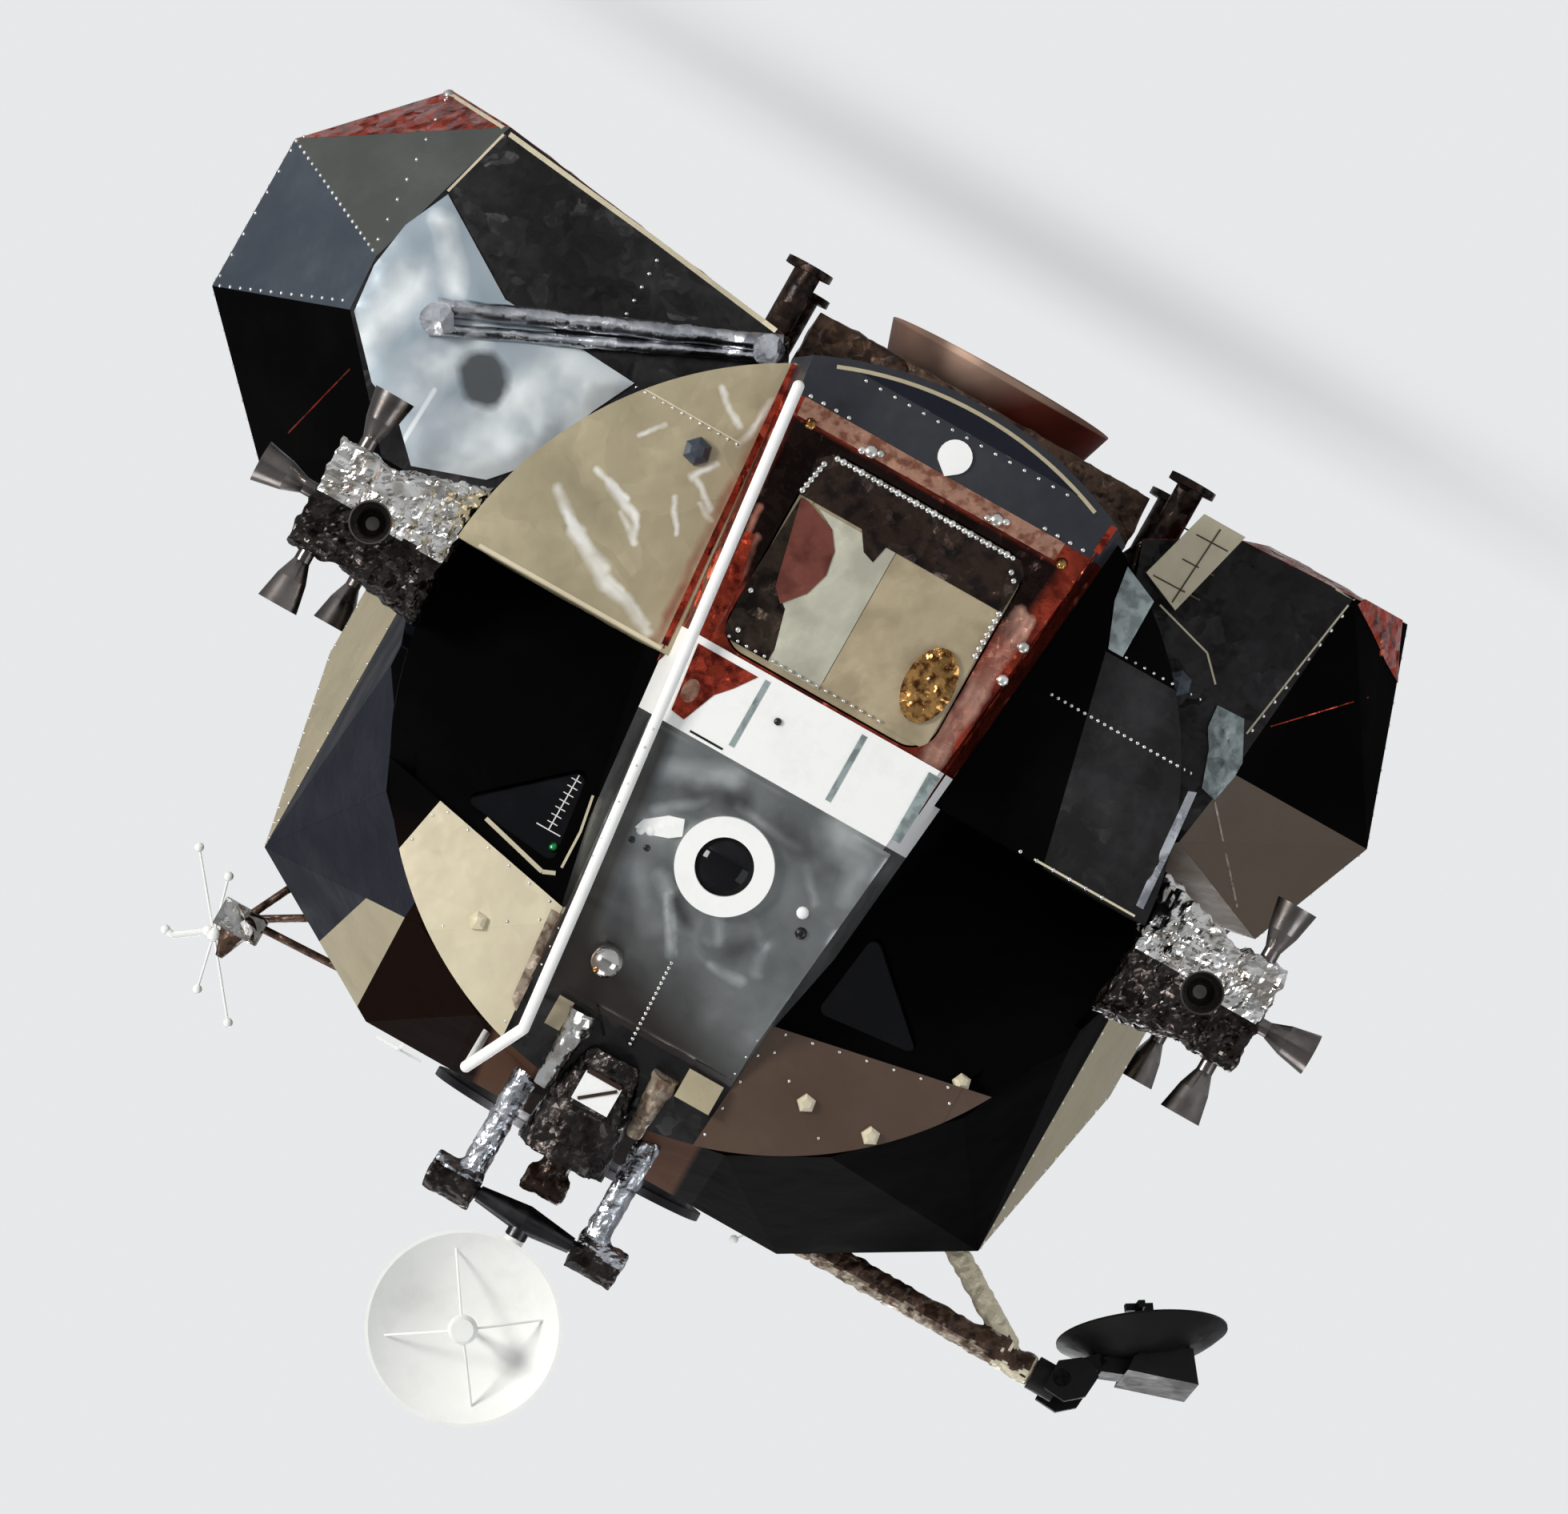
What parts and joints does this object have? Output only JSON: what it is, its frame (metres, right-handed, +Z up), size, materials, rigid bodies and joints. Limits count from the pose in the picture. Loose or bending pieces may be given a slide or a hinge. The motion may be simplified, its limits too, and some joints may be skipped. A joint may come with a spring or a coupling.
{
  "type": "lunar module ascent stage",
  "caption": "Crewed lander ascent stage with faceted thermal shields, thruster clusters, opening hatch, and swivelling radar and communication dishes.",
  "frame": {"origin": "on the ascent engine's axis, in the plane where the four feet met the stage below", "axes": "+Z up along the engine axis, -Y forward where the crew looks, +X to the crew's left"},
  "size_m": [4.4774, 3.8219, 3.687],
  "materials": {
    "black_shield": "matte black paint over thin metal shields",
    "cream_shield": "pale anodised thin shields, lightly creased",
    "grey_panel": "bare creased metal",
    "white_paint": "matte white paint",
    "silver_foil": "crinkled silver film",
    "dark_foil": "dark crinkled film",
    "copper_foil": "copper-red plastic film, crinkled",
    "brown_foil": "brown film wrapped in bands",
    "brown_shield": "brown-tinted thin shields",
    "bay_shield": "thin riveted shields in black, grey and white",
    "pane": "coated window glass",
    "dark_lens": "dark lamp glass",
    "bell_metal": "heat-stained coated bell",
    "nozzle_metal": "heat-darkened metal",
    "steel": "machined metal",
    "cabin_inside": "grey paint"
  },
  "bodies": {
    "stage": {"cabin_barrel": "black_shield", "middle_drum": "cabin_inside", "window_panel_port": "black_shield", "window_panel_starboard": "black_shield", "window_panes": "pane", "cheek_panel_port": "cream_shield", "cheek_panel_starboard": "dark_foil", "brow_panel_port": "cream_shield", "brow_panel_starboard": "brown_shield", "lower_skirt": "dark_foil", "hatch_frame": "copper_foil", "console_panel": "white_paint", "nose_panel": "grey_panel", "nose_cap": "dark_foil", "recess_side_walls": "black_shield", "tracking_light_ring": "white_paint", "tracking_light_lens": "dark_lens", "docking_tunnel": "steel", "docking_drogue": "steel", "shoulder_shield_port": "black_shield", "shoulder_shield_starboard": "black_shield", "roof_deck": "black_shield", "front_fairing_port": "black_shield", "front_fairing_starboard": "black_shield", "front_deck": "black_shield", "aft_equipment_bay": "bay_shield", "fuel_tank_bay": "bay_shield", "oxidizer_tank_bay": "bay_shield", "fuel_bay_strut": "silver_foil", "umbilical_box": "cream_shield", "ascent_engine": "bell_metal", "engine_cover": "cabin_inside", "base_heat_shield": "copper_foil", "interstage_feet": "steel", "radar_pedestal": "silver_foil", "handrail": "white_paint", "telescope_shroud": "dark_foil", "nose_blocks": "cream_shield", "omni_antenna_front": "brown_foil", "omni_antenna_rear": "brown_foil", "s_band_boom": "brown_foil", "vhf_antenna_port": "brown_foil", "vhf_antenna_rear": "brown_foil", "docking_target": "white_paint", "thruster_housing_port_front": "silver_foil", "thrusters_port_front": "nozzle_metal", "thruster_housing_port_rear": "silver_foil", "thrusters_port_rear": "nozzle_metal", "thruster_housing_starboard_front": "silver_foil", "thrusters_starboard_front": "nozzle_metal", "thruster_housing_starboard_rear": "silver_foil", "thrusters_starboard_rear": "nozzle_metal"},
    "hatch": {"forward_hatch": "cream_shield"},
    "radar_yoke": {"radar_yoke": "dark_foil"},
    "radar_dish": {"radar_dish": "white_paint"},
    "s_band_gimbal": {"s_band_gimbal": "dark_foil"},
    "s_band_dish": {"s_band_dish": "dark_foil"}
  },
  "joints": [
    {"name": "hatch_hinge", "type": "hinge", "parent": "stage", "child": "hatch", "pos_m": [-0.366, -1.775, 0.846], "axis": [0, 0, 1], "range_deg": [0, 85]},
    {"name": "radar_shaft", "type": "hinge", "parent": "stage", "child": "radar_yoke", "pos_m": [0, -1.35, 2.99], "axis": [1, 0, 0], "range_deg": [-60, 70]},
    {"name": "radar_trunnion", "type": "hinge", "parent": "radar_yoke", "child": "radar_dish", "pos_m": [0, -1.35, 3.06], "axis": [0, 0, 1], "range_deg": [-55, 55]},
    {"name": "antenna_pitch", "type": "hinge", "parent": "stage", "child": "s_band_gimbal", "pos_m": [-1.67, -0.4, 2.674], "axis": [1, 0, 0], "range_deg": [-165, 165]},
    {"name": "antenna_yaw", "type": "hinge", "parent": "s_band_gimbal", "child": "s_band_dish", "pos_m": [-1.762, -0.36746, 2.60092], "axis": [0, 0.9135, 0.4067], "range_deg": [-10, 90]}
  ]
}
